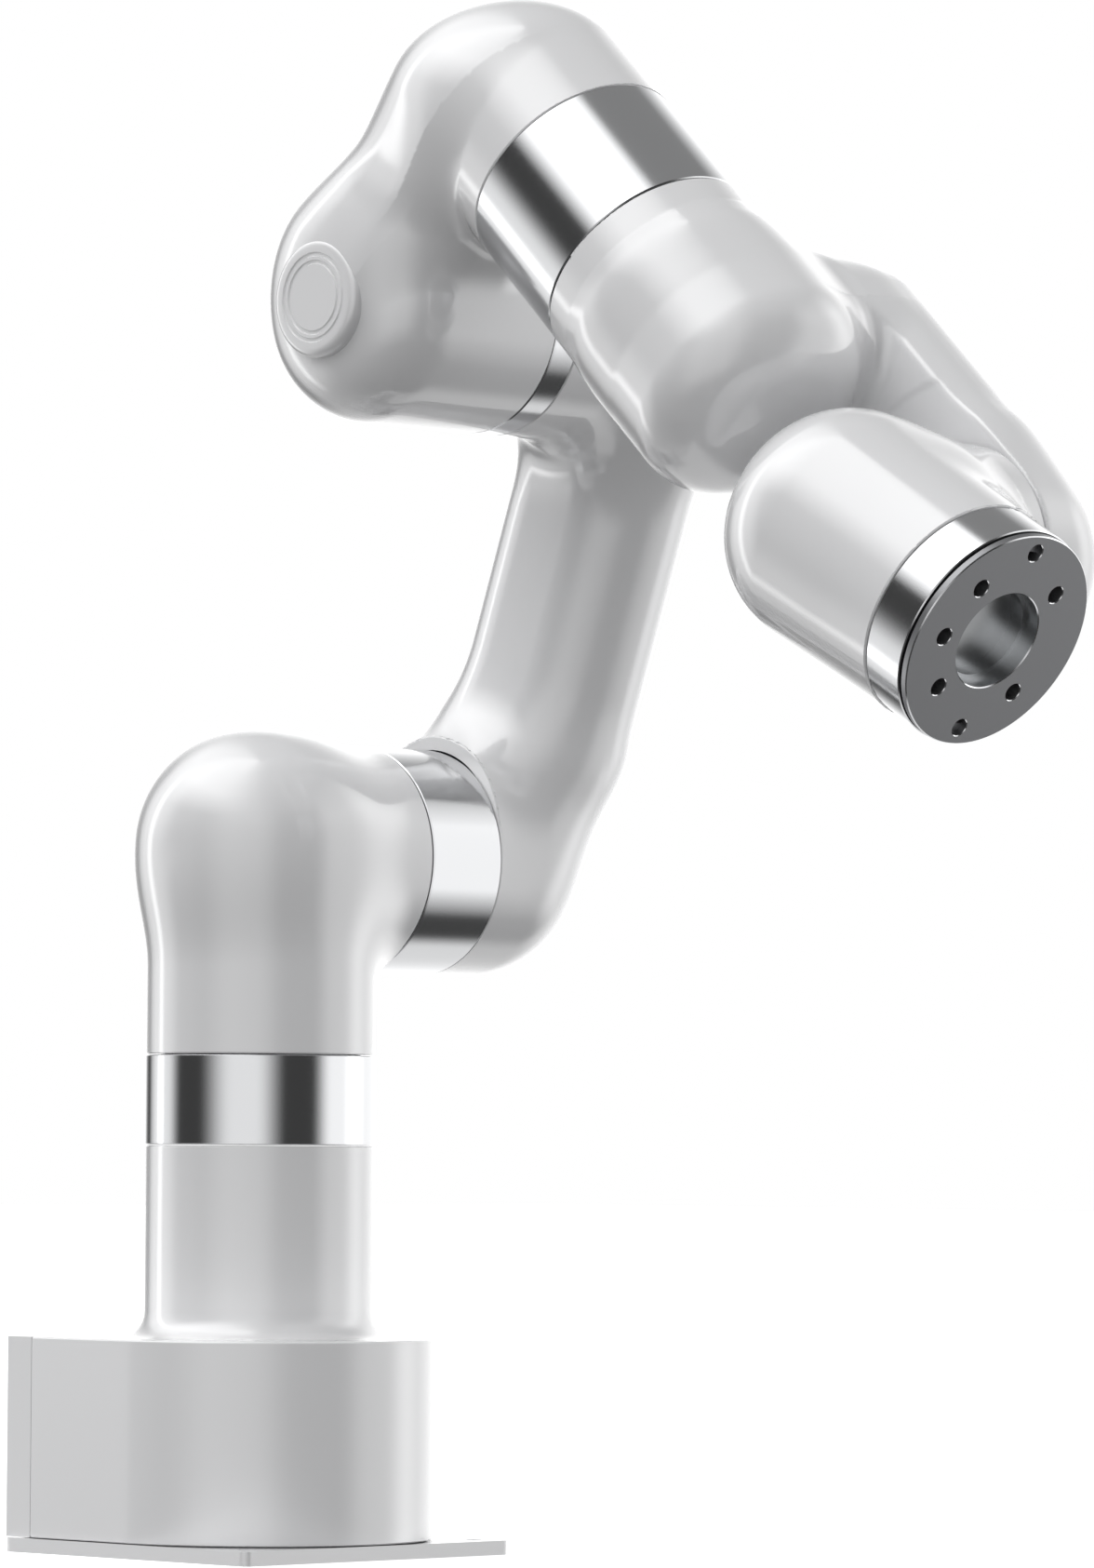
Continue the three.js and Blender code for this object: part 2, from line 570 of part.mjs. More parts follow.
const minusY = v3(0, -1, 0);
const seam5 = SEAM_J5 + GAP;
driveUnit('j1', Z, base, v3(0, 0, RING.j1.from), shoulder, v3(0, 0, RING.j1.from));
driveUnit('j2', Y, shoulder, v3(0, RING.j2.from, J2_HEIGHT), upperArm, v3(0, RING.j2.from, 0));
driveUnit('j3', minusY, upperArm, v3(0, RING.j3.to, UPPER_ARM), elbow, v3(0, RING.j3.to, 0));
driveUnit('j4', X, elbow, v3(RING.j4.from, 0, ELBOW_OFFSET), forearm, v3(RING.j4.from, 0, 0));
driveUnit('j5', minusY, forearm, v3(FOREARM, seam5, 0), wrist, v3(0, seam5, 0));
driveUnit('j6', X, wrist, v3(RING.j6.from, 0, 0), flange, v3(RING.j6.from - WRIST, 0, 0));

export default robot;
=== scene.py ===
"""The looks of a six-axis collaborative robot arm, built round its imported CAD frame."""
import json
import math

import bmesh
import bpy
import numpy as np
from mathutils import Matrix, Vector


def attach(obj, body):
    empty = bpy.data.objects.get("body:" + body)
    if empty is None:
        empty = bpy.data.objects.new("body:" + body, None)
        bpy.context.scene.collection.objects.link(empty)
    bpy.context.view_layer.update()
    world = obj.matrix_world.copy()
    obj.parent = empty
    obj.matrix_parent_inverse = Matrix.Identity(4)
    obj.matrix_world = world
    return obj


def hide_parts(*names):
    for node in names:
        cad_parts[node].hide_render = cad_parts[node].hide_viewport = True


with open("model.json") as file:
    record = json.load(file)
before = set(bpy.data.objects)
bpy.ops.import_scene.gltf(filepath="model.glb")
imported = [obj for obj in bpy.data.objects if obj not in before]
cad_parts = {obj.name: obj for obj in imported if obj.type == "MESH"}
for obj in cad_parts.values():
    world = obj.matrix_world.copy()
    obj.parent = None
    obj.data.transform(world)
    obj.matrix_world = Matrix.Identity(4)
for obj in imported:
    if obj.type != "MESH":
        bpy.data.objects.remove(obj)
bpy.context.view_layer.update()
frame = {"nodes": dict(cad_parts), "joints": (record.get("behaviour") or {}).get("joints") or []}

# Castings are worked out in millimetres and made in metres.
MM = 0.001

# ---------- driving dimensions, millimetres ----------
GRID = 1.5                      # cell of the grid that the castings are drawn out of
GAP = 0.3                       # dark line between a ring and its neighbour
SEAM_STEP = 0.45                # small chamfer round each seam
LIP, LIP_BACK = 5.0, 6          # how far a seam's rim runs inward, and then back
RING_SEGMENTS = 192
SHARP = 35                      # edges sharper than this stay crisp, degrees
RING_EDGE, RING_DEEP = 0.35, 5  # broken edge of a joint ring, and how deep its section is

NODES = frame["nodes"]
JOINTS = {joint["name"]: joint for joint in frame["joints"]}


def joint_place(name):
    """A joint's point in millimetres and its unit axis, at rest."""
    joint = JOINTS[name]
    point = np.array(joint.get("pos_m", (0, 0, 0)), float) / MM
    axis = np.array(joint["axis"], float)
    return point, axis / np.linalg.norm(axis)


UP = np.array((0.0, 0.0, 1.0))
SIDE = np.array((0.0, 1.0, 0.0))          # the side the upper arm is carried on
J2, _ = joint_place("j2_shoulder")
J3, _ = joint_place("j3_elbow")
J4, FORE = joint_place("j4_forearm_roll")  # FORE runs along the forearm
J5, _ = joint_place("j5_wrist_bend")
_, TOOL = joint_place("j6_flange_roll")    # TOOL leaves the tool face
LINK = (J3 - J2) / np.linalg.norm(J3 - J2)
ACROSS = np.cross(SIDE, LINK)
OUT = np.cross(FORE, SIDE)                 # square to the forearm, in the arm's plane
OUT = OUT if OUT @ UP > 0 else -OUT

RINGS = {                                  # CAD node: body, a point on the axis, axis, from, to, radius
    "j1_ring": ("base", 0 * UP, UP, 142.2, 173.4, 40.1),
    "j2_ring": ("shoulder", J2, SIDE, 45.0, 77.9, 40.2),
    "j3_ring": ("upper_arm", J3, SIDE, 36.6, 47.5, 40.8),
    "j4_ring": ("elbow", J4, FORE, 35.5, 84.5, 39.5),
    "j6_ring": ("wrist", J5, TOOL, 42.2, 58.2, 38.0),
}
SEAM_J5 = 41.3

PLATE_TOP, BODY_TOP, BODY_R, BODY_EDGE = 5.0, 75.0, 61.5, 0.8
HOUSING_BACK = 49.7            # the housing's flat back, behind the column's axis
COLUMN_R, FOOT = 40.0, 9.0     # column, and the hollow rounding at its foot
ELBOW_SIDE, CAP_R, CAP_PROUD = 37.0, 20.5, 4.5
FACE_OUT = 61.5                # the tool face, from the J5 axis
FLANGE_TURN = 45.0             # how far the hole pattern is turned at rest, degrees
FLANGE_R, DISC_THICK, HUB_R, HUB_BACK = 37.5, 2.3, 31.0, 11.3
RECESS_R, RECESS_DEEP, BORE_R = 16.9, 6.0, 15.4
HOLE_R, HOLE_DEEP, HOLE_INNER, HOLE_OUTER = 3.0, 7.0, 25.0, 31.5
HOLE_SEGMENTS = 32
BREAK, HOLE_BREAK = 0.35, 0.25 # broken edges


# ---------- solid fields: negative inside, in millimetres ----------
def smin(a, b, k):
    h = np.maximum(k - np.abs(a - b), 0) / k
    return np.minimum(a, b) - h * h * k / 4


def smax(a, b, k):
    return -smin(-a, -b, k)


def barrel(p, start, end, r, edge_start, edge_end=None):
    """A round bar whose two ends are rounded."""
    edge_end = edge_start if edge_end is None else edge_end
    length = np.linalg.norm(end - start)
    q = p - start
    t = q @ ((end - start) / length)
    radial = np.sqrt(np.maximum((q * q).sum(-1) - t * t, 0))
    edge = np.where(t < length / 2, edge_start, edge_end)
    x = radial - (r - edge)
    y = np.abs(t - length / 2) - (length / 2 - edge)
    return np.minimum(np.maximum(x, y), 0) + np.hypot(np.maximum(x, 0), np.maximum(y, 0)) - edge


def taper(p, start, end, r_start, r_end, edge):
    """A tapered bar, rounded at its start."""
    length = np.linalg.norm(end - start)
    q = p - start
    t = q @ ((end - start) / length)
    radial = np.sqrt(np.maximum((q * q).sum(-1) - t * t, 0))
    x = radial - (r_start + (r_end - r_start) * np.clip(t / length, 0, 1) - edge)
    y = edge - t
    return np.minimum(np.maximum(x, y), 0) + np.hypot(np.maximum(x, 0), np.maximum(y, 0)) - edge


def slab(p, centre, axes, half, edge):
    """A box with rounded edges."""
    q = np.abs((p - centre) @ np.array(axes).T) - (np.array(half, float) - edge)
    return np.sqrt((np.maximum(q, 0) ** 2).sum(-1)) + np.minimum(q.max(-1), 0) - edge


def shoulder_field(p):
    upright = barrel(p, 100 * UP, J2 + 41.5 * UP, 40, 36)
    arm = barrel(p, J2 - 41 * SIDE, J2 + 120 * SIDE, 40, 36)
    return smin(upright, arm, 14)


def upper_arm_field(p):
    lower = barrel(p, J2 + 10 * SIDE, J2 + 138 * SIDE, 40, 39)
    upper = barrel(p, J3 - 30 * SIDE, J3 + 141 * SIDE, 40.8, 32)
    link = slab(p, J2 + 118 * LINK + 119.2 * SIDE, (ACROSS, SIDE, LINK), (34, 25, 88), 24)
    return smin(smin(lower, link, 42), upper, 30)


def faded(full, distance, run):
    """A blend radius that dies away as `distance` to a seam runs out, so that the seam stays round."""
    return full * np.clip(distance / run, 0.02, 1)


def elbow_field(p):
    lower = barrel(p, J3 - 37 * SIDE, J3 + 110 * SIDE, 40.8, 24)
    upper = barrel(p, J4 - 33 * FORE, J4 + 120 * FORE, 39.5, 35)
    web = slab(p, (J3 + J4) / 2 - 7 * FORE - 2 * SIDE, (FORE, SIDE, OUT), (33, 33, 58), 26)
    to_seam = np.minimum(34 - (p - J4) @ FORE, 34.5 - p @ SIDE)
    return smin(smin(lower, web, faded(20, to_seam, 24)), upper, faded(26, to_seam, 30))


def forearm_field(p):
    tube = barrel(p, J4 + 20 * FORE, J4 + 122 * FORE, 39.5, 20)
    belly_axis = 3 * SIDE - 0.5 * OUT
    belly = barrel(p, J4 + 92 * FORE + belly_axis, J4 + 164 * FORE + belly_axis, 42, 32, 22)
    end = barrel(p, J5, J5 + 83 * SIDE, 37.5, 28)
    link = slab(p, J4 + 163 * FORE + 56 * SIDE + 3.5 * OUT, (OUT, SIDE, FORE), (34.5, 27, 59), 26)
    outboard = smax(smin(link, end, 20), SEAM_J5 + GAP - p @ SIDE, 1.5)
    blend = 3 + 35 * np.clip((170 - (p - J4) @ FORE) / 40, 0, 1)
    limb = smin(tube, belly, faded(12, (p - J4) @ FORE - 85, 12))
    solid = smin(limb, outboard, np.minimum(blend, faded(30, (p - J4) @ FORE - 86, 14)))
    swing = np.hypot((p - J5) @ FORE, (p - J5) @ OUT) - 60
    return smax(solid, -smax(swing, p @ SIDE - SEAM_J5 - GAP, 2), 2)


def wrist_field(p):
    cross = barrel(p, J5, J5 + 90 * SIDE, 37.5, 20)
    tube = taper(p, J5 - 48.5 * TOOL - 3 * SIDE, J5 + 42 * TOOL, 42, 38, 36)
    collar = barrel(p, J5, J5 + 90 * TOOL, 38, 10)
    to_seam = np.minimum(41 - (p - J5) @ TOOL, 40 - p @ SIDE)
    return smin(smin(cross, tube, faded(12, to_seam, 8)), collar, 2)


# ---------- surface of a field ----------
def surface(field, low, high):
    """Points and four-sided faces of a field's zero surface, by surface nets, settled onto the field."""
    low = np.array(low, float)
    count = np.ceil((np.array(high) - low) / GRID).astype(int) + 1
    axes = [low[i] + GRID * np.arange(count[i]) for i in range(3)]
    d = field(np.stack(np.meshgrid(*axes, indexing="ij"), -1))
    inside = d < 0
    corners = sum(
        inside[i:count[0] - 1 + i, j:count[1] - 1 + j, k:count[2] - 1 + k].astype(int)
        for i in (0, 1) for j in (0, 1) for k in (0, 1))
    active = (corners > 0) & (corners < 8)
    cells = np.argwhere(active)
    number = -np.ones(active.shape, int)
    number[tuple(cells.T)] = np.arange(len(cells))
    total = np.zeros((len(cells), 3))
    crossings = np.zeros(len(cells))
    faces = []
    for axis in range(3):
        other = [a for a in range(3) if a != axis]
        for i in (0, 1):
            for j in (0, 1):
                near = cells.copy()
                near[:, other[0]] += i
                near[:, other[1]] += j
                far = near.copy()
                far[:, axis] += 1
                d0 = d[tuple(near.T)]
                d1 = d[tuple(far.T)]
                crossed = (d0 < 0) != (d1 < 0)
                where = near.astype(float)
                where[crossed, axis] += d0[crossed] / (d0[crossed] - d1[crossed])
                total[crossed] += where[crossed]
                crossings[crossed] += 1
        step = [slice(None)] * 3
        ahead = list(step)
        ahead[axis] = slice(1, None)
        behind = list(step)
        behind[axis] = slice(None, -1)
        edges = np.argwhere(inside[tuple(ahead)] != inside[tuple(behind)])
        limit = np.array(active.shape)
        fits = (edges[:, other[0]] > 0) & (edges[:, other[1]] > 0) & (edges < limit).all(1)
        edges = edges[fits]
        starts_inside = inside[tuple(edges.T)]
        quad = []
        for i, j in ((0, 0), (-1, 0), (-1, -1), (0, -1)):
            cell = edges.copy()
            cell[:, other[0]] += i
            cell[:, other[1]] += j
            quad.append(number[tuple(cell.T)])
        quad = np.stack(quad, 1)
        turn = starts_inside if axis != 1 else ~starts_inside
        quad[~turn] = quad[~turn][:, ::-1]
        faces.append(quad)
    points = low + GRID * total / crossings[:, None]
    for _ in range(3):
        points -= field(points)[:, None] * gradient(field, points)
    return points, np.concatenate(faces)


def gradient(field, points, reach=0.05):
    slope = np.stack([field(points + reach * e) - field(points - reach * e) for e in np.eye(3)], -1)
    return slope / (np.linalg.norm(slope, axis=1)[:, None] + 1e-12)


# ---------- mesh helpers ----------
def new_object(name, bm, material, body, replaces=()):
    mesh = bpy.data.meshes.new(name)
    bm.to_mesh(mesh)
    bm.free()
    piece = bpy.data.objects.new(name, mesh)
    bpy.context.scene.collection.objects.link(piece)
    mesh.materials.append(material)
    for polygon in mesh.polygons:
        polygon.use_smooth = True
    mesh.set_sharp_from_angle(angle=math.radians(SHARP))
    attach(piece, body)
    if replaces:
        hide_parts(*replaces)
    return piece


def trim(bm, point, normal, axis_point, near):
    """Cuts a casting square at a seam, keeps the side behind `normal`, and turns a lip into the opening."""
    normal = np.asarray(normal, float)
    seam = Vector(point * MM)
    direction = Vector(normal)
    kept = {v for v in bm.verts if near(np.array(v.co) / MM)}
    geometry = list(kept) + [e for e in bm.edges if set(e.verts) <= kept] + [
        f for f in bm.faces if set(f.verts) <= kept]
    bmesh.ops.bisect_plane(bm, geom=geometry, plane_co=seam, plane_no=direction, dist=1e-7)
    doomed = [v for v in bm.verts if (v.co - seam).dot(direction) > 1e-7 and near(np.array(v.co) / MM)]
    bmesh.ops.delete(bm, geom=doomed, context="VERTS")

    def at_seam(edge):
        return edge.is_boundary and all(abs((v.co - seam).dot(direction)) < 1e-6 for v in edge.verts)

    rim = [e for e in bm.edges if at_seam(e)]
    rim_verts = {v for e in rim for v in e.verts}
    centre = Vector(axis_point * MM)

    def pulled(co, inward, back):
        spoke = co - centre
        spoke -= direction * spoke.dot(direction)
        return co - spoke.normalized() * inward * MM - direction * back * MM

    flat = {v: v.co.copy() for v in rim_verts}
    for v in rim_verts:
        v.co = pulled(v.co, 0, SEAM_STEP)
    last = {v: v for v in rim_verts}
    for inward, back in ((SEAM_STEP, 0), (LIP, 0), (LIP, LIP_BACK)):
        made = {v: bm.verts.new(pulled(flat[v], inward, back)) for v in rim_verts}
        for edge in rim:
            first, second = edge.verts
            bm.faces.new((last[first], last[second], made[second], made[first]))
        last = made
    bmesh.ops.recalc_face_normals(bm, faces=list(bm.faces))


def anywhere(p):
    return True


def off_axis(p, point, axis):
    """Distance from an axis, in millimetres."""
    return np.linalg.norm(np.cross(p - point, axis))


def true_normals(mesh, field):
    """Shades a casting by its own field, so that a gloss on it runs smooth; lips and cut faces stay flat."""
    count = len(mesh.vertices)
    points = np.empty(count * 3)
    mesh.vertices.foreach_get("co", points)
    points = points.reshape(-1, 3) / MM
    slope = gradient(field, points)
    on_surface = np.abs(field(points)) < 0.25
    loops = np.empty(len(mesh.loops), int)
    mesh.loops.foreach_get("vertex_index", loops)
    flat = np.empty(len(mesh.polygons) * 3)
    mesh.polygons.foreach_get("normal", flat)
    sizes = np.empty(len(mesh.polygons), int)
    mesh.polygons.foreach_get("loop_total", sizes)
    faces = np.repeat(flat.reshape(-1, 3), sizes, axis=0)
    smooth = on_surface[loops] & ((slope[loops] * faces).sum(-1) > 0.8)
    mesh.normals_split_custom_set(np.where(smooth[:, None], slope[loops], faces))


def casting(name, field, low, high, seams, body, replaces, material):
    points, quads = surface(field, low, high)
    bm = bmesh.new()
    verts = [bm.verts.new(co) for co in points * MM]
    for quad in quads:
        bm.faces.new([verts[i] for i in quad])
    for seam in seams:
        trim(bm, **seam)
    piece = new_object(name, bm, material, body, replaces)
    true_normals(piece.data, field)


def lathe(profile, start, axis, segments=RING_SEGMENTS):
    """A turned piece: (distance along the axis, radius) pairs that close on themselves, in millimetres."""
    bm = bmesh.new()
    axis = Vector(axis).normalized()
    base = Vector(start) * MM
    one = axis.orthogonal().normalized()
    two = axis.cross(one)
    rows = []
    for i in range(segments):
        angle = 2 * math.pi * i / segments
        spoke = one * math.cos(angle) + two * math.sin(angle)
        rows.append([bm.verts.new(base + axis * (s * MM) + spoke * (r * MM)) for s, r in profile])
    count = len(profile)
    for i in range(segments):
        here, there = rows[i], rows[(i + 1) % segments]
        for j in range(count):
            k = (j + 1) % count
            bm.faces.new((here[j], here[k], there[k], there[j]))
    bmesh.ops.recalc_face_normals(bm, faces=list(bm.faces))
    return bm


def turned_disc(profile, start, axis, segments=RING_SEGMENTS):
    """A turned piece whose profile starts and ends on its axis."""
    bm = bmesh.new()
    axis = Vector(axis).normalized()
    base = Vector(start) * MM
    one = axis.orthogonal().normalized()
    two = axis.cross(one)
    first = bm.verts.new(base + axis * (profile[0][0] * MM))
    last = bm.verts.new(base + axis * (profile[-1][0] * MM))
    rows = []
    for i in range(segments):
        angle = 2 * math.pi * i / segments
        spoke = one * math.cos(angle) + two * math.sin(angle)
        rows.append([bm.verts.new(base + axis * (s * MM) + spoke * (r * MM)) for s, r in profile[1:-1]])
    for i in range(segments):
        here, there = rows[i], rows[(i + 1) % segments]
        bm.faces.new((first, here[0], there[0]))
        bm.faces.new((last, there[-1], here[-1]))
        for j in range(len(here) - 1):
            bm.faces.new((here[j], here[j + 1], there[j + 1], there[j]))
    bmesh.ops.recalc_face_normals(bm, faces=list(bm.faces))
    return bm


# ---------- materials ----------
def material(name, **values):
    made = bpy.data.materials.new(name)
    made.use_nodes = True
    shader = made.node_tree.nodes["Principled BSDF"]
    for socket, value in values.items():
        shader.inputs[socket.replace("_", " ")].default_value = value
    return made, made.node_tree.nodes, made.node_tree.links, shader


def noise(nodes, links, scale, detail=2.0, stretch=None):
    """Noise over the object's own space, stretched where asked."""
    place = nodes.new("ShaderNodeTexCoord")
    texture = nodes.new("ShaderNodeTexNoise")
    texture.inputs["Scale"].default_value = scale
    texture.inputs["Detail"].default_value = detail
    if stretch is None:
        links.new(place.outputs["Object"], texture.inputs["Vector"])
    else:
        mapping = nodes.new("ShaderNodeMapping")
        mapping.inputs["Scale"].default_value = stretch
        links.new(place.outputs["Object"], mapping.inputs["Vector"])
        links.new(mapping.outputs["Vector"], texture.inputs["Vector"])
    return texture.outputs["Fac"]


def spread(nodes, links, value, low, high):
    """Maps a 0 to 1 value to a narrow range."""
    ramp = nodes.new("ShaderNodeMapRange")
    ramp.inputs["To Min"].default_value = low
    ramp.inputs["To Max"].default_value = high
    links.new(value, ramp.inputs["Value"])
    return ramp.outputs["Result"]


def bump(nodes, links, shader, height, strength, distance):
    node = nodes.new("ShaderNodeBump")
    node.inputs["Strength"].default_value = strength
    node.inputs["Distance"].default_value = distance
    links.new(height, node.inputs["Height"])
    links.new(node.outputs["Normal"], shader.inputs["Normal"])


def gloss_white():
    """Lacquer over cast metal: a clear gloss coat with a faint orange peel."""
    made, nodes, links, shader = material(
        "gloss_white", Base_Color=(0.76, 0.762, 0.772, 1), Roughness=0.3, Coat_Weight=1.0,
        Coat_Roughness=0.015, Coat_IOR=1.6)
    links.new(spread(nodes, links, noise(nodes, links, 60), 0.2, 0.26), shader.inputs["Roughness"])
    bump(nodes, links, shader, noise(nodes, links, 420, 3), 0.01, 0.0002)
    return made


def polished_metal():
    made, nodes, links, shader = material(
        "polished_metal", Base_Color=(0.62, 0.625, 0.635, 1), Metallic=1.0, Roughness=0.14)
    links.new(spread(nodes, links, noise(nodes, links, 900, 2), 0.11, 0.16), shader.inputs["Roughness"])
    bump(nodes, links, shader, noise(nodes, links, 1500, 2), 0.02, 0.0003)
    return made


def dark_anodised():
    made, nodes, links, shader = material(
        "dark_anodised", Base_Color=(0.25, 0.253, 0.262, 1), Metallic=0.8, Roughness=0.34)
    links.new(spread(nodes, links, noise(nodes, links, 1400, 2), 0.32, 0.42), shader.inputs["Roughness"])
    bump(nodes, links, shader, noise(nodes, links, 3000, 2), 0.05, 0.0002)
    return made


def tone(nodes, links, shader, value, dark, light):
    """Base colour that wanders between two tones."""
    mix = nodes.new("ShaderNodeMixRGB")
    mix.inputs["Color1"].default_value = (*dark, 1)
    mix.inputs["Color2"].default_value = (*light, 1)
    links.new(value, mix.inputs["Fac"])
    links.new(mix.outputs["Color"], shader.inputs["Base Color"])


def stripes(nodes, links, scale, axis="X", distortion=0.0):
    place = nodes.new("ShaderNodeTexCoord")
    wave = nodes.new("ShaderNodeTexWave")
    wave.bands_direction = axis
    wave.inputs["Scale"].default_value = scale
    wave.inputs["Distortion"].default_value = distortion
    links.new(place.outputs["Object"], wave.inputs["Vector"])
    return wave.outputs["Fac"]


def bore_metal():
    made, nodes, links, shader = material("bore_metal", Metallic=1.0, Roughness=0.24)
    tone(nodes, links, shader, noise(nodes, links, 400), (0.5, 0.51, 0.52), (0.53, 0.54, 0.55))
    links.new(spread(nodes, links, noise(nodes, links, 300), 0.27, 0.3), shader.inputs["Roughness"])
    return made


def dull_steel():
    made, nodes, links, shader = material("dull_steel", Metallic=1.0)
    tone(nodes, links, shader, noise(nodes, links, 90, 4), (0.36, 0.37, 0.38), (0.5, 0.51, 0.53))
    links.new(spread(nodes, links, noise(nodes, links, 500, 4), 0.3, 0.45), shader.inputs["Roughness"])
    bump(nodes, links, shader, noise(nodes, links, 900, 4), 0.06, 0.0003)
    return made


def black_plastic():
    made, nodes, links, shader = material("black_plastic")
    tone(nodes, links, shader, noise(nodes, links, 150), (0.012, 0.012, 0.013), (0.022, 0.022, 0.024))
    links.new(spread(nodes, links, noise(nodes, links, 700), 0.38, 0.52), shader.inputs["Roughness"])
    bump(nodes, links, shader, noise(nodes, links, 2600, 3), 0.12, 0.0002)
    return made


def copper_winding():
    made, nodes, links, shader = material("copper_winding", Metallic=0.9)
    turns = stripes(nodes, links, 260, "DIAGONAL", 1.5)
    tone(nodes, links, shader, turns, (0.22, 0.075, 0.03), (0.62, 0.27, 0.12))
    links.new(spread(nodes, links, turns, 0.28, 0.5), shader.inputs["Roughness"])
    bump(nodes, links, shader, turns, 0.5, 0.0005)
    return made


def circuit_board():
    made, nodes, links, shader = material("circuit_board")
    place = nodes.new("ShaderNodeTexCoord")
    cells = nodes.new("ShaderNodeTexVoronoi")
    cells.distance = "CHEBYCHEV"
    cells.inputs["Scale"].default_value = 160
    links.new(place.outputs["Object"], cells.inputs["Vector"])
    tracks = spread(nodes, links, cells.outputs["Distance"], 0, 1)
    tone(nodes, links, shader, tracks, (0.006, 0.06, 0.022), (0.03, 0.19, 0.07))
    links.new(spread(nodes, links, noise(nodes, links, 400), 0.3, 0.5), shader.inputs["Roughness"])
    bump(nodes, links, shader, tracks, 0.25, 0.0003)
    return made


def green_plastic():
    made, nodes, links, shader = material("green_plastic")
    tone(nodes, links, shader, noise(nodes, links, 200), (0.02, 0.22, 0.07), (0.035, 0.3, 0.1))
    links.new(spread(nodes, links, noise(nodes, links, 900), 0.35, 0.5), shader.inputs["Roughness"])
    bump(nodes, links, shader, noise(nodes, links, 2200, 3), 0.1, 0.0002)
    return made


WHITE = gloss_white()
METAL = polished_metal()
DARK = dark_anodised()
BORE = bore_metal()
STEEL = dull_steel()
BLACK = black_plastic()
COPPER = copper_winding()
BOARD = circuit_board()
GREEN = green_plastic()


# ---------- the object ----------
def make_castings():
    j6_end = RINGS["j6_ring"][3] - GAP
    casting(
        "shoulder_shell", shoulder_field, (-48, -48, 160), (48, 62, 294),
        [dict(point=(RINGS["j1_ring"][4] + GAP) * UP, normal=-UP, axis_point=0 * UP, near=anywhere),
         dict(point=J2 + (RINGS["j2_ring"][3] - GAP) * SIDE, normal=SIDE, axis_point=J2, near=anywhere)],
        "shoulder", ["shoulder_casting"], WHITE)
    casting(
        "upper_arm_shell", upper_arm_field, (-48, 30, 195), (122, 156, 480),
        [dict(point=J2 + (RINGS["j2_ring"][4] + GAP) * SIDE, normal=-SIDE, axis_point=J2,
              near=lambda p: (p - J2) @ LINK < 60 and p[1] < 97),
         dict(point=J3 + (RINGS["j3_ring"][4] + GAP) * SIDE, normal=-SIDE, axis_point=J3,
              near=lambda p: (p - J2) @ LINK > 130)],
        "upper_arm", ["upper_arm_casting"], WHITE)
    casting(
        "elbow_shell", elbow_field, (10, -46, 378), (192, 52, 552),
        [dict(point=J3 + (RINGS["j3_ring"][3] - GAP) * SIDE, normal=SIDE, axis_point=J3,
              near=lambda p: off_axis(p, J3, SIDE) < 44),
         dict(point=J4 + (RINGS["j4_ring"][3] - GAP) * FORE, normal=FORE, axis_point=J4,
              near=lambda p: off_axis(p, J4, FORE) < 42.5)],
        "elbow", ["elbow_casting"], WHITE)
    casting(
        "forearm_shell", forearm_field, (150, -52, 270), (345, 96, 500),
        [dict(point=J4 + (RINGS["j4_ring"][4] + GAP) * FORE, normal=-FORE, axis_point=J4, near=anywhere)],
        "forearm", ["forearm_casting"], WHITE)
    casting(
        "wrist_shell", wrist_field, (232, -50, 268), (350, 56, 402),
        [dict(point=J5 + (SEAM_J5 - GAP) * SIDE, normal=SIDE, axis_point=J5,
              near=lambda p: (p - J5) @ TOOL < 44),
         dict(point=J5 + j6_end * TOOL, normal=TOOL, axis_point=J5, near=anywhere)],
        "wrist", ["wrist_casting"], WHITE)


def make_rings():
    for node, (body, point, axis, start, end, r) in RINGS.items():
        inner, edge = r - RING_DEEP, RING_EDGE
        profile = [
            (start, inner), (start, r - edge), (start + edge, r),
            (end - edge, r), (end, r - edge), (end, inner)]
        new_object(f"{node}_shell", lathe(profile, point, axis), METAL, body, [node])


def body_reach(angle, inset):
    """Distance from the column's axis to the housing's outline: a half round with a square back."""
    across, deep = math.cos(angle), math.sin(angle)
    if across >= 0:
        return BODY_R - inset
    return min((BODY_R - inset) / max(abs(deep), 1e-9), HOUSING_BACK / -across)


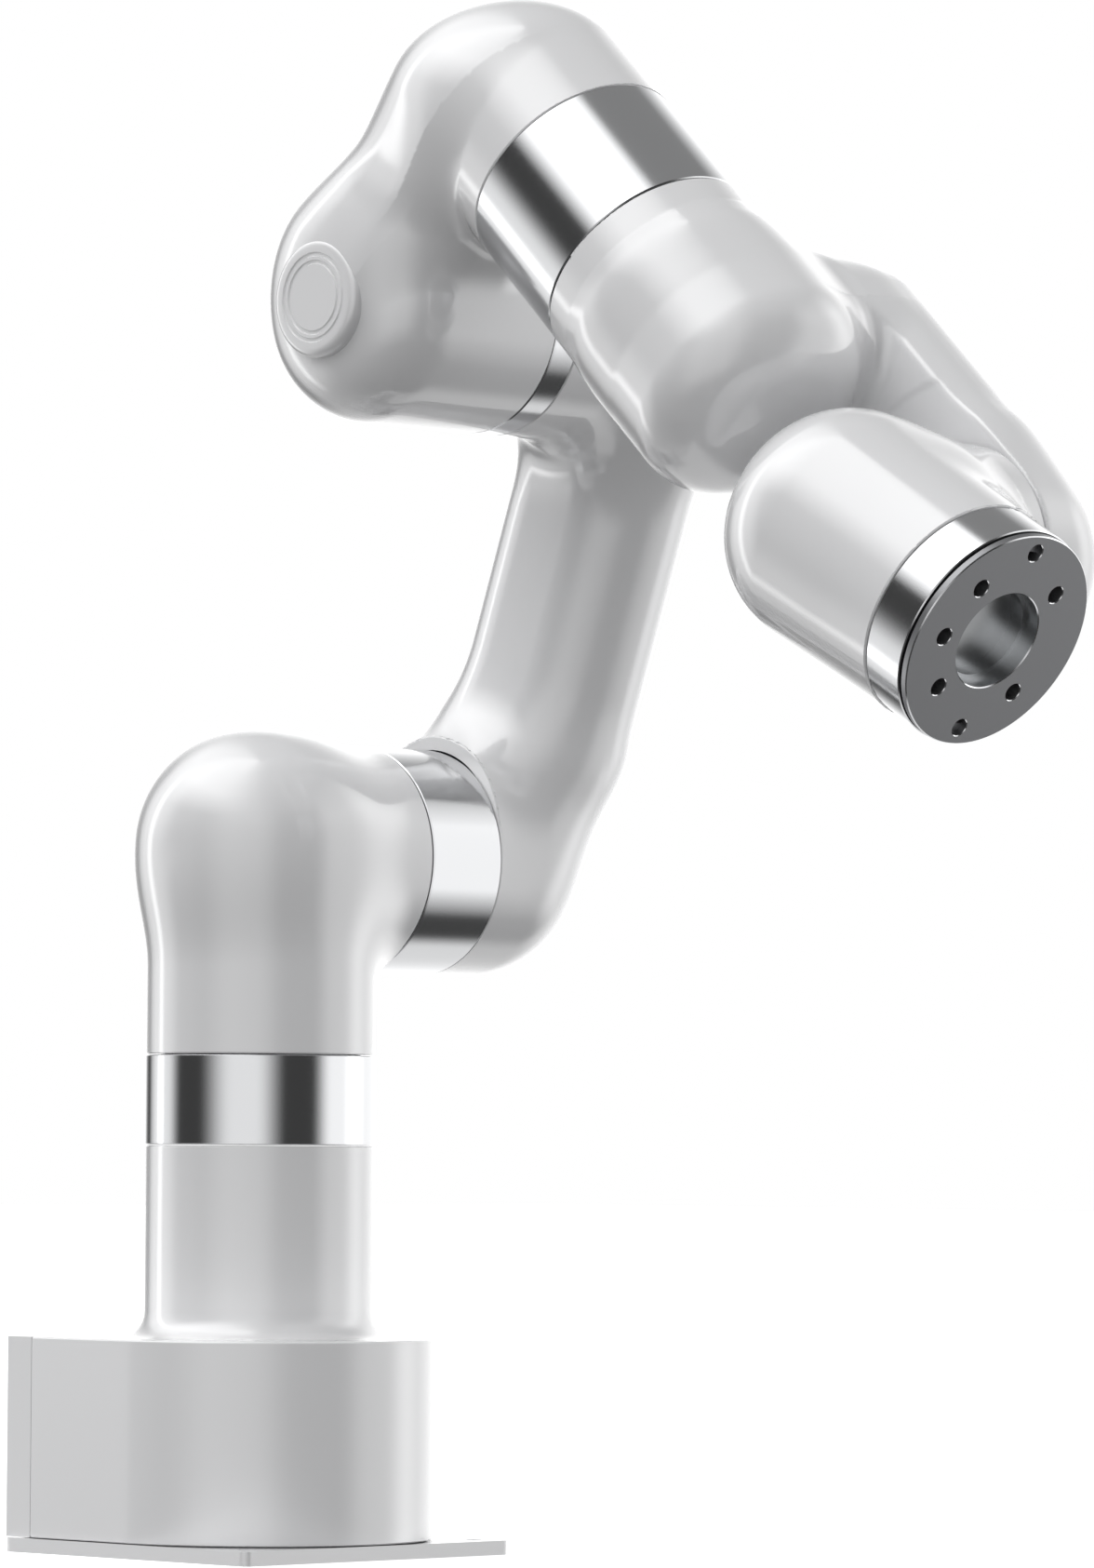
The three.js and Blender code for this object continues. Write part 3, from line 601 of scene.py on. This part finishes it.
def make_housing():
    corner = math.atan2(BODY_R, -HOUSING_BACK)
    angles = sorted({2 * math.pi * i / RING_SEGMENTS - math.pi for i in range(RING_SEGMENTS)} | {
        sign * (corner + shift) for sign in (-1, 1) for shift in (-0.004, 0, 0.004)})
    quarter = [math.pi / 2 * i / 8 for i in range(9)]
    low = PLATE_TOP + GAP
    rows = [
        (lambda a: body_reach(a, 3), low), (lambda a: body_reach(a, 0.4), low),
        (lambda a: body_reach(a, 0), low + 0.4)]
    for turn in quarter:
        inset = BODY_EDGE * (1 - math.cos(turn))
        rows.append((lambda a, i=inset: body_reach(a, i), BODY_TOP - BODY_EDGE * (1 - math.sin(turn))))
    for turn in quarter:
        reach = COLUMN_R + FOOT * (1 - math.sin(turn))
        rows.append((lambda a, r=reach: r, BODY_TOP + FOOT * (1 - math.cos(turn))))
    top = RINGS["j1_ring"][3] - GAP
    rim = (
        (top - SEAM_STEP, COLUMN_R), (top, COLUMN_R - SEAM_STEP),
        (top, COLUMN_R - LIP), (top - LIP_BACK, COLUMN_R - LIP))
    for z, reach in rim:
        rows.append((lambda a, r=reach: r, z))
    bm = bmesh.new()
    grid = [[
        bm.verts.new(Vector((reach(a) * math.cos(a), reach(a) * math.sin(a), z)) * MM) for a in angles]
        for reach, z in rows]
    for low_row, high_row in zip(grid, grid[1:]):
        for i in range(len(angles)):
            j = (i + 1) % len(angles)
            bm.faces.new((low_row[i], low_row[j], high_row[j], high_row[i]))
    bmesh.ops.recalc_face_normals(bm, faces=list(bm.faces))
    new_object("base_housing_shell", bm, WHITE, "base", ["base_housing"])


def arc(centre_s, centre_r, r, start, end, steps=6):
    """Points of a profile round a small edge, from one angle to another, degrees."""
    return [
        (centre_s + r * math.sin(math.radians(t)), centre_r + r * math.cos(math.radians(t)))
        for t in (start + (end - start) * i / steps for i in range(steps + 1))]


def make_cap():
    """The round cap over the J3 axis, with two plain grooves let into its face."""
    face, edge = CAP_PROUD, 3
    profile = [(-3, 0), (-3, CAP_R), *arc(face - edge, CAP_R - edge, edge, 0, 90)]
    for r in (15.2, 12.6):
        profile += [(face, r + 0.35), (face - 0.5, r), (face - 0.5, r - 0.9), (face, r - 1.25)]
    profile.append((face, 0))
    start = J3 - ELBOW_SIDE * SIDE
    new_object("elbow_cap_shell", turned_disc(profile, start, -SIDE), WHITE, "elbow", ["elbow_cap"])


def circle(centre, r, count):
    return [
        (centre[0] + r * math.cos(2 * math.pi * i / count), centre[1] + r * math.sin(2 * math.pi * i / count))
        for i in range(count)]


def make_flange():
    """The tool disc: a plate with seven drilled holes, a recessed bore, and bright broken edges."""
    angle = math.radians(FLANGE_TURN)
    first = SIDE * math.cos(angle) + np.cross(TOOL, SIDE) * math.sin(angle)
    second = np.cross(TOOL, first)
    face = J5 + FACE_OUT * TOOL

    def place(spot, back):
        return Vector((face + spot[0] * first + spot[1] * second - back * TOOL) * MM)

    holes = [(HOLE_INNER, turn) for turn in (0, 90, 135, 180, 270)]
    holes += [(HOLE_OUTER, turn) for turn in (45, 225)]
    centres = [(r * math.cos(math.radians(t)), r * math.sin(math.radians(t))) for r, t in holes]
    disc, bright = bmesh.new(), bmesh.new()

    def wall(bm, rows):
        made = [[bm.verts.new(place(spot, back)) for spot in spots] for spots, back in rows]
        for here, there in zip(made, made[1:]):
            for i in range(len(here)):
                j = (i + 1) % len(here)
                bm.faces.new((here[i], here[j], there[j], there[i]))
        return made

    edges = []

    def rim(centre, r, count):
        ring = [disc.verts.new(place(spot, 0)) for spot in circle(centre, r, count)]
        edges.extend(disc.edges.new((ring[i], ring[(i + 1) % count])) for i in range(count))

    def round_wall(bm, steps, centre=(0, 0), count=RING_SEGMENTS):
        """A turned wall through (radius, distance behind the face) pairs."""
        return wall(bm, [(circle(centre, r, count), back) for r, back in steps])

    inner = RING_SEGMENTS // 2
    rim((0, 0), FLANGE_R - BREAK, RING_SEGMENTS)
    rim((0, 0), RECESS_R + BREAK, inner)
    for centre in centres:
        rim(centre, HOLE_R + HOLE_BREAK, HOLE_SEGMENTS)
    bmesh.ops.triangle_fill(disc, edges=edges, use_beauty=True, use_dissolve=False)
    round_wall(bright, [(FLANGE_R - BREAK, 0), (FLANGE_R, BREAK)])
    round_wall(bright, [(RECESS_R + BREAK, 0), (RECESS_R, BREAK)], count=inner)
    for centre in centres:
        round_wall(bright, [(HOLE_R + HOLE_BREAK, 0), (HOLE_R, HOLE_BREAK)], centre, HOLE_SEGMENTS)
        walls = round_wall(disc, [(HOLE_R, HOLE_BREAK), (HOLE_R, HOLE_DEEP)], centre, HOLE_SEGMENTS)
        disc.faces.new(walls[-1])
    round_wall(disc, [(FLANGE_R, BREAK), (FLANGE_R, DISC_THICK), (HUB_R, DISC_THICK), (HUB_R, HUB_BACK)])
    bore = bmesh.new()
    steps = [(RECESS_R, BREAK), (RECESS_R, RECESS_DEEP), (BORE_R, RECESS_DEEP), (BORE_R, HUB_BACK)]
    bore.faces.new(round_wall(bore, steps, count=inner)[-1])
    looks = (("tool_disc", disc, DARK), ("tool_disc_edges", bright, METAL), ("tool_bore", bore, BORE))
    for name, bm, look in looks:
        bmesh.ops.recalc_face_normals(bm, faces=list(bm.faces))
        piece = new_object(name, bm, look, "tool_flange")
        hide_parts("tool_flange")


def dress(node, look, edge=0.0):
    """Keeps a CAD piece as it is, with its own material and, where asked, finely broken edges."""
    piece = NODES[node]
    piece.data.materials.clear()
    piece.data.materials.append(look)
    if edge:
        bevel = piece.modifiers.new("broken_edges", "BEVEL")
        bevel.width = edge * MM
        bevel.segments = 3
        bevel.limit_method = "ANGLE"
        bevel.angle_limit = math.radians(40)
        bevel.harden_normals = True


def make_base_fittings():
    dress("base_plate", WHITE, 0.6)
    dress("rear_cover", WHITE, 0.7)
    dress("power_inlet", BLACK, 0.25)
    for node in ("stop_connector", "network_socket"):
        dress(node, STEEL, 0.25)
    for node in ("io_terminal_lower", "io_terminal_upper"):
        dress(node, GREEN, 0.2)
    dress("status_lens", BLACK, 0.2)
    dress("power_button", STEEL)
    dress("controller_board", BOARD)
    dress("power_supply", STEEL, 0.5)
    looks = {"stator": COPPER, "rotor": STEEL, "brake": BLACK, "encoder": BOARD, "reducer": STEEL}
    for joint in ("j1", "j2", "j3", "j4", "j5", "j6"):
        for part, look in looks.items():
            dress(f"{joint}_{part}", look)


make_castings()
make_rings()
make_housing()
make_cap()
make_flange()
make_base_fittings()


# ---------- studio ----------
CAMERA_PLACE = (1.93215, -1.76767, 0.14069)              # metres
CAMERA_TURN, CAMERA_LIFT, CAMERA_ROLL = 135.365, 2.813, 0.347  # degrees: from +X, above level, and leaning
LENS, SENSOR = 171.5, 36                                 # millimetres


def make_camera():
    data = bpy.data.cameras.new("camera")
    data.sensor_width = SENSOR
    data.lens = LENS
    data.clip_end = 50
    camera = bpy.data.objects.new("camera", data)
    bpy.context.scene.collection.objects.link(camera)
    turn = (
        Matrix.Rotation(math.radians(CAMERA_TURN - 90), 4, "Z")
        @ Matrix.Rotation(math.radians(CAMERA_LIFT + 90), 4, "X")
        @ Matrix.Rotation(math.radians(CAMERA_ROLL), 4, "Z"))
    camera.matrix_world = Matrix.Translation(CAMERA_PLACE) @ turn
    bpy.context.scene.camera = camera


def make_floor():
    """White paper that lights itself a little, so that it runs into the white behind it."""
    bm = bmesh.new()
    bmesh.ops.create_grid(bm, x_segments=1, y_segments=1, size=12)
    mesh = bpy.data.meshes.new("floor")
    bm.to_mesh(mesh)
    bm.free()
    floor = bpy.data.objects.new("floor", mesh)
    bpy.context.scene.collection.objects.link(floor)
    made, nodes, links, shader = material(
        "floor_paper", Base_Color=(0.8, 0.8, 0.8, 1), Roughness=0.9, Emission_Color=(1, 1, 1, 1),
        Emission_Strength=0.6)
    bump(nodes, links, shader, noise(nodes, links, 700), 0.05, 0.0002)
    mesh.materials.append(made)
    floor.visible_diffuse = False
    floor.visible_glossy = False


# The studio's soft boxes at three heights, by degrees from +X towards +Y: each rises from, is full from,
# is full to and is gone by an angle, and has a brightness. Between boxes there is only the dark level.
HORIZON_DARK, HORIZON_BOXES = 0.05, (
    (-192, -175, -150, -130, 0.9),
    (-108, -70, -48, -16, 0.9),
    (10, 34, 134, 168, 1.1),
)
ABOVE_DARK, ABOVE_BOXES = 0.25, ((-220, -140, -100, -20, 2.2),)
BELOW_DARK, BELOW_BOXES = 0.06, ((80, 100, 150, 240, 0.8),)
# Narrow strips in front of the horizon's boxes: middle, half width, brightness.
STRIPS = ((-163, 7, 2.5), (68, 20, 1.9))
ABOVE_FROM, ABOVE_TO = 0.42, 0.72
BELOW_FROM, BELOW_TO = -0.35, -0.62
LIGHT = 1.3


def math_node(nodes, links, operation, *values):
    node = nodes.new("ShaderNodeMath")
    node.operation = operation
    for socket, value in zip(node.inputs, values):
        links.new(value, socket)
    return node.outputs["Value"]


def fitted(nodes, links, value, low, high):
    """Maps low..high to 0..1."""
    ramp = spread(nodes, links, value, 0, 1)
    ramp.node.inputs["From Min"].default_value = low
    ramp.node.inputs["From Max"].default_value = high
    return ramp


def band(nodes, links, turn, dark, boxes, strips=()):
    """Soft boxes round the azimuth, as one ramp that closes on itself."""
    table = {}
    for rise, full, last, gone, level in boxes:
        table.update({rise: dark, full: level, last: level, gone: dark})
        for middle, half, bright in strips:
            if full < middle < last:
                table.update({middle - half: level, middle: bright, middle + half: level})
    table = {(angle + 180) % 360 - 180: level for angle, level in table.items()}
    angles = sorted(table)
    gap = angles[0] + 360 - angles[-1]
    joint = table[angles[-1]] + (table[angles[0]] - table[angles[-1]]) * (180 - angles[-1]) / gap
    rows = [(-180, joint)] + [(angle, table[angle]) for angle in angles] + [(180, joint)]
    ramp = nodes.new("ShaderNodeValToRGB")
    ramp.color_ramp.interpolation = "EASE"
    stops = ramp.color_ramp.elements
    while len(stops) < len(rows):
        stops.new(0.5)
    for stop, (angle, level) in zip(stops, rows):
        stop.position = (angle + 180) / 360
        stop.color = (level, level, level, 1)
    links.new(turn, ramp.inputs["Fac"])
    return ramp.outputs["Color"]


def blended(nodes, links, amount, first, second):
    mix = nodes.new("ShaderNodeMixRGB")
    links.new(amount, mix.inputs["Fac"])
    links.new(first, mix.inputs["Color1"])
    links.new(second, mix.inputs["Color2"])
    return mix.outputs["Color"]


def make_light():
    """White to the eye, and a banded soft-box studio to the object."""
    world = bpy.data.worlds.new("studio")
    bpy.context.scene.world = world
    world.use_nodes = True
    nodes, links = world.node_tree.nodes, world.node_tree.links
    seen = nodes["Background"]
    seen.inputs["Color"].default_value = (1, 1, 1, 1)
    lit = nodes.new("ShaderNodeBackground")
    place = nodes.new("ShaderNodeTexCoord")
    split = nodes.new("ShaderNodeSeparateXYZ")
    links.new(place.outputs["Generated"], split.inputs["Vector"])
    angle = math_node(nodes, links, "ARCTAN2", split.outputs["Y"], split.outputs["X"])
    turn = fitted(nodes, links, angle, -math.pi, math.pi)
    above = fitted(nodes, links, split.outputs["Z"], ABOVE_FROM, ABOVE_TO)
    below = fitted(nodes, links, split.outputs["Z"], BELOW_FROM, BELOW_TO)
    level = band(nodes, links, turn, HORIZON_DARK, HORIZON_BOXES, STRIPS)
    high = band(nodes, links, turn, ABOVE_DARK, ABOVE_BOXES)
    under = band(nodes, links, turn, BELOW_DARK, BELOW_BOXES)
    color = blended(nodes, links, below, blended(nodes, links, above, level, high), under)
    links.new(color, lit.inputs["Color"])
    lit.inputs["Strength"].default_value = LIGHT
    path = nodes.new("ShaderNodeLightPath")
    choose = nodes.new("ShaderNodeMixShader")
    links.new(path.outputs["Is Camera Ray"], choose.inputs["Fac"])
    links.new(lit.outputs["Background"], choose.inputs[1])
    links.new(seen.outputs["Background"], choose.inputs[2])
    links.new(choose.outputs["Shader"], nodes["World Output"].inputs["Surface"])
    bpy.context.scene.view_settings.view_transform = "Standard"


make_camera()
make_floor()
make_light()
